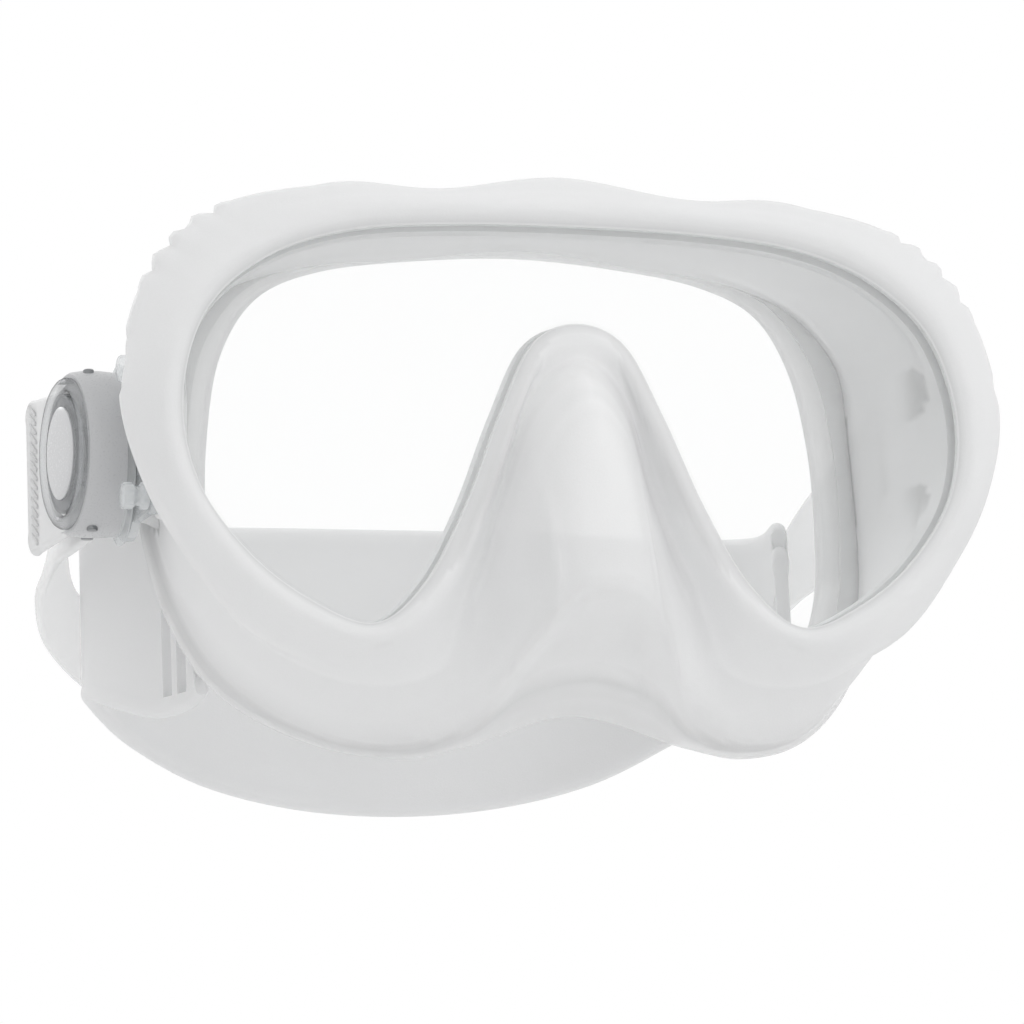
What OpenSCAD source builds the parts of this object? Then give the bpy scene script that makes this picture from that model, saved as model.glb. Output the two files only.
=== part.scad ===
// Frameless diving mask: a silicone skirt moulded round one glass lens, with a strap held by
// two swivelling buckles. +Z is up and the lens faces -Y. The origin is the middle of the face
// seal, level with the buckle posts.

/* [Mask] */
// Width over the rim that grips the lens
mask_width = 169; // [141:1:203]
// Height from the top of the rim to the lowest edge of the skirt
mask_height = 106; // [89:1:127]
// Depth from the front of the lens to the plane of the face seal
mask_depth = 40; // [34:1:48]
// Thickness of the glass
lens_thickness = 4; // [3:0.1:5]
// Thickness of the skirt's wall
skirt_wall = 2.2; // [1.8:0.1:2.8]

/* [Strap] */
// Width of the strap where it goes through the buckle
strap_width = 27; // [22:1:32]
// Thickness of the strap's arms
strap_thickness = 1.8; // [1.5:0.1:2.1]
// Thickness of the pad at the back of the head
pad_thickness = 2.6; // [2.1:0.1:3.2]
// How far behind the face seal the pad reaches
strap_reach = 86; // [72:1:104]

/* [Buckle] */
// Diameter of the swivel post
post_d = 5; // [4:0.1:5.5]
// Diameter of the roller that the strap turns round
roller_d = 3.4; // [2.9:0.1:4]
// Diameter of the roller's axle
axle_d = 1.8; // [1.5:0.1:2]

/* [Hidden] */
$fn = 48;
eps = 0.01;

// ---- Scales from the driving sizes to the outlines below, which are drawn for a
// mask 169 wide, 106 high and 40 deep
sx = mask_width / 169;
sy = mask_depth / 40;
sz = mask_height / 106;
lens_front = -mask_depth;

// ---- Buckle stack, measured outwards from the face of the side lug
lug_x = 76 * sx;              // face of the lug
post_y = -8 * sy;             // swivel axis, behind the lens
post_z = -3.3 * sz;
bracket_t = 1.6;
gap = 0.2;                    // between parts that turn on each other
base_t = 1.4;
clip_t = 0.6;
clip_d = post_d + 2.2;
run_gap = 0.3;                // between the strap and the parts beside it
wrap_gap = 0.1;               // between the strap and the roller
base_x = bracket_t + gap;
base_top = base_x + base_t;
inner_run_x = base_top + gap + clip_t + run_gap + strap_thickness / 2;
wrap_r = roller_d / 2 + wrap_gap + strap_thickness / 2;
roller_x = inner_run_x + wrap_r;
outer_run_x = roller_x + wrap_r;
roller_y = 3;                 // behind the post
pod_a = 11;                   // half of the oval buckle's length
pod_b = strap_width / 2 + 1.6;  // half of its height
body_wall = 1.5;
tilt = 10;                    // the buckle's face leans to the front
ring_t = 1.3;
ring_under = outer_run_x + strap_thickness / 2 + 0.2;   // underside of the ring over the roller
ring_pivot_y = roller_y - wrap_r - strap_thickness / 2;
ring_less = 1.2;              // the ring is this much smaller than the base all round
lever_a = 6.9;
lever_b = pod_b - 4.1;
window_gap = 0.6;
lever_t = 1.3;
badge_a = 4.6;
badge_b = lever_b - 3;
badge_t = 0.6;
lever_pin_d = 1.6;
lever_pin_x = base_top + 5.2;
lever_pin_y = -3.6;
stud_y = -19;
stud_z = 11.5;
stud_d = 3;
knob_d = 5.2;
knob_t = 5;
plate_depth = 2.4;            // the moulded-in plate's outer face, below the lug's face
plate_t = 1;
plate_a = 7;                  // half of the moulded-in plate's oval, along and up
plate_b = 9;
plate_ear_d = 6;
plate_room = 0.06;            // between the silicone and the plate's edge, all round
running = 0.05;               // radial clearance of a part that turns on a pin

// ---- Curves
function spline(p0, p1, p2, p3, t) =
    0.5 * (2 * p1 + (p2 - p0) * t + (2 * p0 - 5 * p1 + 4 * p2 - p3) * t * t
    + (3 * p1 - p0 - 3 * p2 + p3) * t * t * t);
function closed_curve(pts, steps) = let (n = len(pts))
    [for (i = [0:n - 1], s = [0:steps - 1])
        spline(pts[(i + n - 1) % n], pts[i], pts[(i + 1) % n], pts[(i + 2) % n], s / steps)];
function open_curve(pts, steps) = let (n = len(pts))
    [for (i = [0:n - 2], s = [0:steps - 1])
        spline(pts[max(i - 1, 0)], pts[i], pts[i + 1], pts[min(i + 2, n - 1)], s / steps),
     pts[n - 1]];
function unit(v) = v / max(norm(v), 1e-9);
// A half outline runs from the top of the forehead to the top of the nose arch; the other half
// is its mirror image
function whole(half) = let (n = len(half)) concat(
    half, [for (i = [n - 2:-1:1]) [-half[i].x, half[i].y, half[i].z]]);
function sized(pts) = [for (p = pts) [p.x * sx, p.y * sy, p.z * sz]];

// ---- Skirt outlines, each as a half from forehead to nose arch
around = 3;                   // points between two stations of an outline
lens_half = [[0, -40, 34], [24, -40, 33.5], [43, -40, 31.5], [58, -40, 26], [69, -40, 16],
    [73.6, -40, 1], [71.5, -40, -14], [63, -40, -26.5], [52, -40, -35], [40.5, -40, -39],
    [31, -40, -31.5], [23, -40, -17.5], [16, -40, -1], [9, -40, 12.5], [0, -40, 16.4]];
crest_half = [[0, -41.2, 38.5], [24, -41.2, 37.6], [44.5, -41.2, 35.6], [61, -41.2, 29.6],
    [72.6, -41.2, 18.4], [77.6, -41.2, 2], [75.4, -41.2, -13.5], [67, -41.2, -27.6],
    [55.6, -41.2, -37.6], [41.5, -41.2, -42.2], [29.5, -41, -36], [21.4, -39.5, -23],
    [14.8, -39.5, -7.5], [8.2, -40.6, 8.5], [0, -41.4, 12.6]];
rim_half = [[0, -34, 45.3], [24, -35, 41.8], [48, -36, 41], [67.5, -36, 35.6], [79.5, -36, 23],
    [84.5, -36, 4], [81.5, -36, -12], [74, -36, -26], [62, -36, -40], [45, -37, -46.5],
    [30, -37, -43], [20.5, -35.5, -30], [14.5, -35, -14], [8.6, -38, 1.5], [0, -41, 7.6]];
neck_half = [[0, -27, 43], [24, -27, 39], [45, -27, 37], [62, -27, 31], [72.5, -27, 20.5],
    [75.2, -27, 4], [75, -27, -12], [70.5, -27, -24.5], [62.5, -30, -38.5], [47, -33, -48.5],
    [31, -34, -49], [20, -36, -40.5], [12.5, -40, -22], [7, -44.5, -8], [0, -46.5, -2]];
wall_half = [[0, -19, 40.5], [24, -18, 37.5], [44, -16, 36], [60.5, -14, 30.5],
    [70.5, -12, 20], [73, -11, 4], [72.8, -12, -12], [69, -15, -27], [61.5, -21, -42],
    [48, -27.5, -52.5], [32, -31, -55], [19.5, -37, -48], [12, -46, -36], [6.5, -50, -28],
    [0, -51, -26]];
flank_half = [[0, -12, 39], [23, -10, 37], [42.5, -7, 35.5], [58, -4, 30.5],
    [68.5, -3, 19.5], [71.2, -2.5, 4], [71.4, -3.5, -13], [68, -8, -29.5], [60.5, -13.5, -44.5],
    [47.5, -22.5, -55.5], [33, -29, -59], [21, -33, -54.5], [13.5, -43, -46.5],
    [7, -48.5, -43.5], [0, -50.5, -42.5]];
edge_half = [[0, -6, 41], [22, -4, 39.5], [42, -1, 37.2], [58, 1, 31.8], [69, 1.5, 19.5],
    [72.5, 1.5, 4], [72.6, 0.5, -14], [69, -2.5, -32], [61, -7.5, -47], [47, -18, -57.5],
    [32.5, -25.5, -61.3], [22, -26.5, -59.8], [14.5, -26.5, -57.5], [7.5, -26.2, -55],
    [0, -26, -53.8]];
lip_half = [[0, -5, 37.4], [20, -4, 36.4], [38, -2.5, 34], [50, -2, 28.5], [57, -1, 17.5],
    [60, -1, 2], [60.5, -1, -13], [58.5, -3.5, -27.5], [52, -8.5, -40], [42, -15.5, -48.5],
    [32, -20.5, -52], [24, -20, -50.5], [16.5, -18, -46.5], [9, -16, -44],
    [0, -15.5, -43]];

function outline(half) = closed_curve(sized(whole(half)), around);
lens_line = outline(lens_half);
skirt_n = len(lens_line);

// The lens outline grown outwards in its own plane
function grown(o, y) = [for (i = [0:skirt_n - 1])
    let (a = lens_line[(i + skirt_n - 1) % skirt_n], b = lens_line[(i + 1) % skirt_n],
         t = unit([b.x - a.x, b.z - a.z]), p = lens_line[i])
    [p.x - t.y * o, y, p.z + t.x * o]];

skin_rings = [for (h = [crest_half, rim_half, neck_half, wall_half, flank_half, edge_half,
    lip_half]) outline(h)];
// The wall is thicker round the side lugs, most at the temple's station of the outline
temple = 5.4 * around;
lug_bulk = 3;
lug_spread = 1.3 * around;
function bulk(i) = lug_bulk * exp(-pow((min(i, skirt_n - i) - temple) / lug_spread, 2));
// Inner face of the skin: the outer one moved inwards along its own normal
function inset(j, t, thicker = 0) = [for (i = [0:skirt_n - 1])
    let (u = skin_rings[j][(i + 1) % skirt_n] - skin_rings[j][(i + skirt_n - 1) % skirt_n],
         v = skin_rings[j + 1][i] - skin_rings[j - 1][i])
    skin_rings[j][i] - (t + thicker * bulk(i)) * unit(cross(u, v))];

groove = 2.7;                 // how far the lens reaches into the rim
step_t = 1.2;                 // the lip lies in a ground step, level with the glass
lip_y = lens_front;
step_y = lens_front + step_t;
lens_back = lens_front + lens_thickness;
hold_t = 1.8;                 // silicone behind the lens
skirt_rings = concat(
    [grown(0.3, lip_y)], skin_rings,
    [inset(5, 1.2), inset(4, 0.85 * skirt_wall, 0.9), inset(3, skirt_wall, 1),
     inset(2, skirt_wall, 0.9),
     grown(-0.4, lens_back + hold_t), grown(0, lens_back), grown(groove, lens_back),
     grown(groove, step_y), grown(0.3, step_y)]);

// A tube whose rings close on themselves both ways
module ring_shell(rings) {
    m = len(rings);
    n = len(rings[0]);
    polyhedron(
        points = [for (r = rings, p = r) p],
        faces = [for (j = [0:m - 1], i = [0:n - 1], k = [0, 1])
            let (a = j * n + i, b = j * n + (i + 1) % n,
                 c = ((j + 1) % m) * n + (i + 1) % n, d = ((j + 1) % m) * n + i)
            k == 0 ? [a, c, b] : [a, d, c]],
        convexity = 10);
}

// ---- Flat shapes in the buckle's own frame: drawn in Y and Z, thickened along X
function oval(a, b, n = 60) = [for (i = [0:n - 1]) [a * cos(360 * i / n), b * sin(360 * i / n)]];
module plate(x, t) translate([x, 0, 0]) rotate([90, 0, 90]) linear_extrude(t) children();
module pin_x(x0, x1, d, y = 0, z = 0, n = $fn)
    translate([x0, y, z]) rotate([0, 90, 0]) cylinder(d = d, h = x1 - x0, $fn = n);
module pin_z(z0, z1, d, x, y) translate([x, y, z0]) cylinder(d = d, h = z1 - z0);
// Puts a right-hand shape at its buckle; side is 1 for the right one and -1 for the left one
module at_buckle(side) mirror([side < 0 ? 1 : 0, 0, 0]) translate([lug_x, post_y, post_z])
    children();
// Frame of the leaning face: x is the height above the ring's underside
module leaning() translate([ring_under, ring_pivot_y, 0]) rotate([0, 0, -tilt])
    translate([0, -ring_pivot_y, 0]) children();

// ---- Skirt and lens
module lug_pads() {
    plate(-6, 7) polygon(oval(8.6, 12, 36));
    for (z = [-stud_z, stud_z]) pin_x(-4, 1, 8, stud_y, z, 24);
}
// What the anchor takes out of the silicone: the moulded-in plate, its pins and a flat seat
module lug_room() {
    lug_plate_solid(plate_room);
    eared_plate(0, 5, pod_a + 1.2, pod_b + 1.2, 9);
    pin_x(-plate_depth - plate_t / 2, 1, post_d + 0.06, n = 36);
    for (z = [-stud_z, stud_z]) pin_x(-plate_depth - plate_t / 2, 1, stud_d + 0.05, stud_y, z, 24);
}
module skirt() color([0.93, 0.94, 0.95, 0.8]) resize([0, 0, 0]) difference() {
    union() {
        ring_shell(skirt_rings);
        for (s = [-1, 1]) at_buckle(s) lug_pads();
    }
    for (s = [-1, 1]) at_buckle(s) lug_room();
}
module lens_plate(o, y0, y1) translate([0, y1, 0]) rotate([90, 0, 0]) linear_extrude(y1 - y0)
    polygon([for (p = grown(o, 0)) [p.x, p.z]]);
module lens() color([0.9, 0.97, 0.97, 0.3]) union() {
    lens_plate(0.3, lens_front, step_y + eps);
    lens_plate(groove, step_y, lens_back);
}

// ---- Anchor: what stays on the skirt
// A middle oval with two ears that reach forward to the studs
module eared_plate(x, t, a, b, ear_d) union() {
    plate(x, t) polygon(oval(a, b, 36));
    for (z = [-1, 1]) {
        pin_x(x, x + t, ear_d, stud_y, z * stud_z, 24);
        plate(x, t) polygon([[0, z * 2], [-2, z * b * 0.85], [stud_y, z * (stud_z + ear_d * 0.42)],
            [stud_y, z * (stud_z - ear_d * 0.42)]]);
    }
}
module lug_plate_solid(more = 0)
    eared_plate(-plate_depth - plate_t, plate_t, plate_a + more, plate_b + more,
        plate_ear_d + 2 * more);
module lug_plate(side) color([0.85, 0.87, 0.88]) at_buckle(side) difference() {
    lug_plate_solid();
    pin_x(-10, 10, post_d);
    for (z = [-stud_z, stud_z]) pin_x(-10, 10, stud_d, stud_y, z);
}
module anchor_bracket(side) color([0.9, 0.93, 0.95, 0.5]) at_buckle(side) difference() {
    eared_plate(0, bracket_t, pod_a + 0.8, pod_b + 0.8, 6.4);
    pin_x(-10, 10, post_d);
    for (z = [-stud_z, stud_z]) pin_x(-10, 10, stud_d, stud_y, z);
}
module anchor_studs(side) color([0.85, 0.9, 0.92, 0.6]) at_buckle(side)
    for (z = [-stud_z, stud_z]) union() {
        pin_x(-plate_depth - plate_t, bracket_t + eps, stud_d, stud_y, z);
        pin_x(bracket_t, bracket_t + knob_t, knob_d, stud_y, z);
    }
module swivel_post(side) color([0.75, 0.76, 0.78]) at_buckle(side)
    pin_x(-plate_depth - plate_t, base_top + gap + clip_t, post_d);
module post_clip(side) color([0.7, 0.71, 0.73]) at_buckle(side) difference() {
    pin_x(base_top + gap, base_top + gap + clip_t, clip_d);
    pin_x(0, 10, post_d);
}

// ---- Buckle
module pod_plate(x, t, less = 0) plate(x, t) polygon(oval(pod_a - less, pod_b - less));
module buckle_base(side) color([0.88, 0.92, 0.95, 0.5]) at_buckle(side) difference() {
    pod_plate(base_x, base_t);
    pin_x(0, 10, post_d + 2 * running);
}
module strap_room() translate([0, roller_y - wrap_r - strap_thickness, -strap_width / 2 - run_gap])
    cube([40, 40, strap_width + 2 * run_gap]);
module buckle_body(side) color([0.93, 0.94, 0.95]) at_buckle(side) difference() {
    pod_plate(base_top, ring_under + ring_t + 4 - base_top);
    pod_plate(base_top - 1, 40, body_wall);
    translate([-1, 0, 0]) strap_room();
    leaning() translate([0, -40, -40]) cube([80, 80, 80]);
    pin_z(-pod_b - 1, pod_b + 1, axle_d, roller_x, roller_y);
    pin_z(-pod_b - 1, pod_b + 1, lever_pin_d, lever_pin_x, lever_pin_y);
}
module buckle_ring(side) color([0.85, 0.9, 0.95, 0.45]) at_buckle(side) leaning() difference() {
    plate(0, ring_t) polygon(oval(pod_a - ring_less / 2, pod_b - ring_less));
    plate(-1, ring_t + 2) polygon(oval(lever_a + window_gap, lever_b + window_gap));
}
module roller(side) color([0.9, 0.92, 0.94]) at_buckle(side) difference() {
    pin_z(-strap_width / 2 - 0.1, strap_width / 2 + 0.1, roller_d, roller_x, roller_y);
    pin_z(-strap_width, strap_width, axle_d + 2 * running, roller_x, roller_y);
}
// Length of a pin that ends inside the oval wall at distance y along the buckle
function pin_half(y) = pod_b * sqrt(1 - pow((abs(y) + 1) / pod_a, 2)) - 0.2;
module roller_axle(side) color([0.35, 0.36, 0.38]) at_buckle(side)
    pin_z(-pin_half(roller_y), pin_half(roller_y), axle_d, roller_x, roller_y);
module lever_pin(side) color([0.35, 0.36, 0.38]) at_buckle(side)
    pin_z(-pin_half(lever_pin_y), pin_half(lever_pin_y), lever_pin_d, lever_pin_x, lever_pin_y);

ear_z = pod_b - 10.1;         // middle of each ear of the lever, inside the ring's window
ear_t = 2.4;
module release_lever(side) color([0.9, 0.93, 0.96, 0.6]) at_buckle(side) difference() {
    union() {
        leaning() plate(ring_t - lever_t, lever_t) polygon(oval(lever_a, lever_b));
        for (z = [-1, 1]) translate([0, 0, z * ear_z - ear_t / 2]) linear_extrude(ear_t)
            polygon([[lever_pin_x - 1.7, lever_pin_y - 1.5], [lever_pin_x - 1.7, lever_pin_y + 1.5],
                [ring_under + 0.2, lever_pin_y + 2.2], [ring_under - 0.6, lever_pin_y - 2.2]]);
        translate([0, 0, -lever_b * 0.6]) linear_extrude(lever_b * 1.2)
            polygon([[ring_under + 0.1, roller_y - 0.6], [ring_under + 1, roller_y - 0.8],
                [ring_under + 1.2, roller_y + 1.4]]);
    }
    pin_z(-pod_b, pod_b, lever_pin_d + 2 * running, lever_pin_x, lever_pin_y);
}
module badge(side) color([0.8, 0.81, 0.83]) at_buckle(side) leaning()
    plate(ring_t, badge_t) polygon(oval(badge_a, badge_b));
spring_z = pod_b - 7.7;       // middle of each spring, between an ear and the wall
spring_w = 2.2;
spring_t = 0.4;
module lever_springs(side) color([0.4, 0.41, 0.43]) at_buckle(side)
    for (z = [-1, 1]) translate([0, 0, z * spring_z - spring_w / 2]) linear_extrude(spring_w)
        polygon([[base_top, -1.2], [base_top, -6.4], [base_top + 0.5, -6.8],
            [ring_under - 1.7, -4.8], [ring_under - 2, -4.4],
            [base_top + spring_t + 0.15, -6.1], [base_top + spring_t, -1.2]]);

// ---- Strap: a band between a lower and an upper edge. The arms are drawn for the right side,
// from the tail, round the roller and back to the pad
bx = lug_x;
by = post_y;
hw = strap_width / 2;
low = post_z - hw;
high = post_z + hw;
sr = strap_reach / 86;
function both(x, y) = [[x, y, low], [x, y, high]];
function rear(x, y, z) = [x * sx, y * sr, z * sz];
arm_pairs = concat(
    [both(bx + outer_run_x + 1.6, by + roller_y + 27),
     both(bx + outer_run_x + 0.8, by + roller_y + 17),
     both(bx + outer_run_x, by + roller_y + 8)],
    [for (a = [90:-22.5:-90])
        both(bx + roller_x + wrap_r * sin(a), by + roller_y - wrap_r * cos(a))],
    [both(bx + inner_run_x, by + roller_y + 8),
     [[bx + inner_run_x, 16, low + 0.4], [bx + inner_run_x - 0.3, 16, high - 1]],
     [rear(81, 36, -15.6), rear(79.4, 33, 6)],
     [rear(80.4, 50, -16.6), rear(76.6, 46, -1)],
     [rear(79.6, 61, -19), rear(74.4, 57, -9)],
     [rear(76, 71.5, -25), rear(70.5, 67, -14.5)],
     [rear(67.5, 78.5, -32), rear(63.5, 74.5, -17)],
     [rear(59, 77.2, -37), rear(57.4, 76.8, -19)]]);
pad_half = [
    [[0, 86, -58], [0, 86, 2.6]], [[22, 85, -56.5], [22, 85, 2.4]],
    [[42, 82, -52], [42, 82, 1.6]], [[58, 76.5, -44.5], [58, 76.5, 0]],
    [[67.4, 67, -38.5], [67.4, 67, -2]], [[70.4, 54, -39], [70.4, 54, -4]],
    [[68, 40, -43], [68, 40, -5.5]], [[63.5, 26, -46.5], [63.5, 26, -7]],
    [[59.6, 15, -45.5], [59.6, 15, -9]], [[58, 10.5, -41], [58, 10.5, -14]]];
function mirrored(pair) = [for (p = pair) [-p.x, p.y, p.z]];
pad_pairs = concat(
    [for (i = [len(pad_half) - 1:-1:1]) mirrored(pad_half[i])], pad_half);
function scaled_pair(pair) = [for (p = pair) rear(p.x, p.y, p.z)];
function side_of(pairs, k) = [for (p = pairs) p[k]];

// A band of one thickness between two edge curves
module band(lower, upper, t) {
    n = len(lower);
    rings = [for (i = [0:n - 1])
        let (along = lower[min(i + 1, n - 1)] - lower[max(i - 1, 0)]
                + upper[min(i + 1, n - 1)] - upper[max(i - 1, 0)],
             h = t / 2 * unit(cross(unit(along), unit(upper[i] - lower[i]))))
        [lower[i] - h, lower[i] + h, upper[i] + h, upper[i] - h]];
    polyhedron(
        points = [for (r = rings, p = r) p],
        faces = concat(
            [for (i = [0:n - 2], k = [0:3], s = [0, 1])
                let (a = 4 * i + k, b = 4 * i + (k + 1) % 4, c = b + 4, d = a + 4)
                s == 0 ? [a, b, c] : [a, c, d]],
            [[0, 3, 2], [0, 2, 1]],
            [[4 * n - 4, 4 * n - 3, 4 * n - 2], [4 * n - 4, 4 * n - 2, 4 * n - 1]]),
        convexity = 10);
}
slot_w = 8;
slot_h = 20;
module keeper_slot() translate([61.3 * sx, 19.6 * sr, -33 * sz]) rotate([0, 0, -18])
    cube([20, slot_w, slot_h], center = true);
module strap() color([0.86, 0.87, 0.88]) resize([0, 0, 0]) difference() {
    union() {
        band(open_curve([for (p = pad_pairs) scaled_pair(p)[0]], 3),
             open_curve([for (p = pad_pairs) scaled_pair(p)[1]], 3), pad_thickness);
        for (s = [0, 1]) mirror([s, 0, 0])
            band(open_curve(side_of(arm_pairs, 0), 2), open_curve(side_of(arm_pairs, 1), 2),
                 strap_thickness);
    }
    for (s = [0, 1]) mirror([s, 0, 0]) keeper_slot();
}

skirt();
lens();
strap();
lug_plate(-1);  // left_lug_plate
anchor_bracket(-1);  // left_anchor_bracket
anchor_studs(-1);  // left_anchor_studs
swivel_post(-1);  // left_swivel_post
post_clip(-1);  // left_post_clip
buckle_base(-1);  // left_buckle_base
buckle_body(-1);  // left_buckle_body
buckle_ring(-1);  // left_buckle_ring
roller(-1);  // left_roller
roller_axle(-1);  // left_roller_axle
release_lever(-1);  // left_release_lever
badge(-1);  // left_badge
lever_pin(-1);  // left_lever_pin
lever_springs(-1);  // left_lever_springs
lug_plate(1);  // right_lug_plate
anchor_bracket(1);  // right_anchor_bracket
anchor_studs(1);  // right_anchor_studs
swivel_post(1);  // right_swivel_post
post_clip(1);  // right_post_clip
buckle_base(1);  // right_buckle_base
buckle_body(1);  // right_buckle_body
buckle_ring(1);  // right_buckle_ring
roller(1);  // right_roller
roller_axle(1);  // right_roller_axle
release_lever(1);  // right_release_lever
badge(1);  // right_badge
lever_pin(1);  // right_lever_pin
lever_springs(1);  // right_lever_springs
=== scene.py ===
# %% [markdown]
# # A frameless diving mask
# The mask is one tempered lens moulded into a frosted silicone skirt. A wide silicone strap holds
# it on, through a swivelling buckle at each temple. The working parts come from the CAD frame.
# This lesson adds what silicone, glass and clear plastic look like, and leaves the frame still.

# %% Load the frame and keep its box
import math

import bmesh
import bpy
from mathutils import Matrix, Vector
from mathutils.bvhtree import BVHTree


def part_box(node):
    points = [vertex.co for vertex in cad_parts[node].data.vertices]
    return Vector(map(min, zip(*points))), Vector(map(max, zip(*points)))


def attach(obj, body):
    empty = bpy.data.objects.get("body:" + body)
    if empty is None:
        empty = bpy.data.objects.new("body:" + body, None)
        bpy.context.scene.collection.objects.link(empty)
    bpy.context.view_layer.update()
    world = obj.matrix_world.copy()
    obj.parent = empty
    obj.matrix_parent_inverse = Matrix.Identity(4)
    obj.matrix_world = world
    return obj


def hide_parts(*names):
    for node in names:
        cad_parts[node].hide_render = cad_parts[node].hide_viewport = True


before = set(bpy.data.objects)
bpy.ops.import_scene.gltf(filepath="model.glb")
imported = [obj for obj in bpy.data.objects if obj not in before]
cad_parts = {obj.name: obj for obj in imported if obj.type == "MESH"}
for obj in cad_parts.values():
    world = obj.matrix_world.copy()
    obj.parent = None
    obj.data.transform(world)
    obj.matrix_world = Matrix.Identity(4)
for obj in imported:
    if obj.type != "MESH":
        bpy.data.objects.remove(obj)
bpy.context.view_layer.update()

# %% [markdown]
# ## Camera, floor and light
# A product picture of a clear object is lit bright-field: a white surround, so that the clear
# parts show by their edges and not by their colour. The camera stands a little below the mask
# and to its left. The white surround shows white, but lights the mask a little less, more from
# above than from below, as a bank of soft lamps over a table does. One broad lamp models the
# form from the upper right, and the floor lies below the camera's height.

# %% Camera
MM = 0.001
FACE = Vector((-14.3, -40, -19)) * MM        # the point on the glass that the camera looks at
DISTANCE = 714.3 * MM
YAW, PITCH, ROLL = (math.radians(a) for a in (-18.75, -11.06, -2.57))


def camera_turn(yaw, pitch, roll):
    """Matrix whose columns are the camera's right, up and backward directions."""
    back = Vector((math.sin(yaw) * math.cos(pitch), -math.cos(yaw) * math.cos(pitch), math.sin(pitch)))
    right = Vector((math.cos(yaw), math.sin(yaw), 0))
    up = back.cross(right)
    level = Matrix((right, up, back)).transposed().to_4x4()
    return level @ Matrix.Rotation(roll, 4, "Z"), back


turn, backward = camera_turn(YAW, PITCH, ROLL)
camera = bpy.data.objects.new("camera", bpy.data.cameras.new("camera"))
camera.data.sensor_width = 36
camera.data.lens = 140.6
camera.data.dof.use_dof = False
camera.matrix_world = Matrix.Translation(FACE + backward * DISTANCE) @ turn
bpy.context.scene.collection.objects.link(camera)
bpy.context.scene.camera = camera
print("camera stands at", [round(v, 3) for v in camera.location])

# %% Light
SKY_LOW, SKY_HIGH = 0.72, 0.98


def white_surround():
    """A sky that looks white, and lights the mask from SKY_LOW below to SKY_HIGH above."""
    world = bpy.data.worlds.new("studio")
    world.use_nodes = True
    nodes, links = world.node_tree.nodes, world.node_tree.links
    where = nodes.new("ShaderNodeTexCoord")
    split = nodes.new("ShaderNodeSeparateXYZ")
    level = nodes.new("ShaderNodeMapRange")
    seen = nodes.new("ShaderNodeLightPath")
    choose = nodes.new("ShaderNodeMix")
    links.new(where.outputs["Generated"], split.inputs[0])
    links.new(split.outputs["Z"], level.inputs["Value"])
    for label, value in (("From Min", -1), ("From Max", 1), ("To Min", SKY_LOW), ("To Max", SKY_HIGH)):
        level.inputs[label].default_value = value
    links.new(seen.outputs["Is Camera Ray"], choose.inputs[0])
    links.new(level.outputs[0], choose.inputs[2])
    choose.inputs[3].default_value = 1.0
    links.new(choose.outputs[0], nodes["Background"].inputs["Strength"])
    nodes["Background"].inputs["Color"].default_value = (1, 1, 1, 1)
    return world


bpy.context.scene.world = white_surround()
bpy.context.scene.view_settings.view_transform = "Standard"     # so that a white sky shows as white


def lamp(name, place, size, watts):
    """A square soft light at place, turned to the mask."""
    data = bpy.data.lights.new(name, "AREA")
    data.size = size
    data.energy = watts
    light = bpy.data.objects.new(name, data)
    light.location = place
    light.rotation_euler = (Vector(place) * -1).to_track_quat("-Z", "Y").to_euler()
    bpy.context.scene.collection.objects.link(light)


lamp("key", (0.9, -0.7, 0.9), 0.5, 3)
lamp("rim", (-0.5, 0.9, 0.7), 0.4, 2)

# %% [markdown]
# ## Writing shader maths as Python
# A procedural finish is a small sum: some noise, a mask, a blend. Joining the nodes by hand hides
# that sum. Here a wire wraps one socket, and ordinary operators on it add the Math nodes, so a
# finish reads as the formula that it is.


# %% Wires and paints
class Wire:
    """One output socket that Python arithmetic works on."""

    def __init__(self, paint, socket):
        self.paint = paint
        self.socket = socket

    def math(self, operation, first, second):
        return self.paint.node("Math", {"operation": operation}, {0: first, 1: second})

    def __add__(self, other):
        return self.math("ADD", self, other)

    def __sub__(self, other):
        return self.math("SUBTRACT", self, other)

    def __rsub__(self, other):
        return self.math("SUBTRACT", other, self)

    def __mul__(self, other):
        return self.math("MULTIPLY", self, other)

    def __pow__(self, other):
        return self.math("POWER", self, other)

    __radd__ = __add__
    __rmul__ = __mul__


class Paint:
    """A material, its tree and the few ways of adding to it."""

    def __init__(self, name, **uniform):
        self.material = bpy.data.materials.new(name)
        self.material.use_nodes = True
        self.tree = self.material.node_tree
        self.shader = self.tree.nodes["Principled BSDF"]
        for label, value in uniform.items():
            self.shader.inputs[label.replace("_", " ").title().replace("Ior", "IOR")].default_value = value

    def put(self, socket, value):
        if isinstance(value, Wire):
            self.tree.links.new(value.socket, socket)
        else:
            socket.default_value = value

    def node(self, kind, settings=None, inputs=None, output=0):
        made = self.tree.nodes.new("ShaderNode" + kind)
        for name, value in (settings or {}).items():
            setattr(made, name, value)
        for name, value in (inputs or {}).items():
            self.put(made.inputs[name], value)
        return Wire(self, made.outputs[output])

    def mix(self, share, first, second):
        """A colour between first and second."""
        return self.node("Mix", {"data_type": "RGBA"}, {0: share, 6: first, 7: second}, 2)

    def place(self, stretch=(1, 1, 1)):
        """Object coordinates in metres, stretched along each axis."""
        where = self.node("TexCoord", output=3)
        return self.node("Mapping", {}, {"Vector": where, "Scale": stretch})

    def noise(self, scale, detail=2.0, stretch=(1, 1, 1)):
        return self.node("TexNoise", {}, {"Vector": self.place(stretch), "Scale": scale, "Detail": detail})

    def bump(self, height, depth):
        """Tilts the surface by a height from 0 to 1 that stands for depth metres."""
        tilted = self.node("Bump", {}, {"Height": height, "Distance": depth, "Strength": 1.0})
        self.put(self.shader.inputs["Normal"], tilted)

    def link(self, label, value):
        self.put(self.shader.inputs[label], value)


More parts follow.
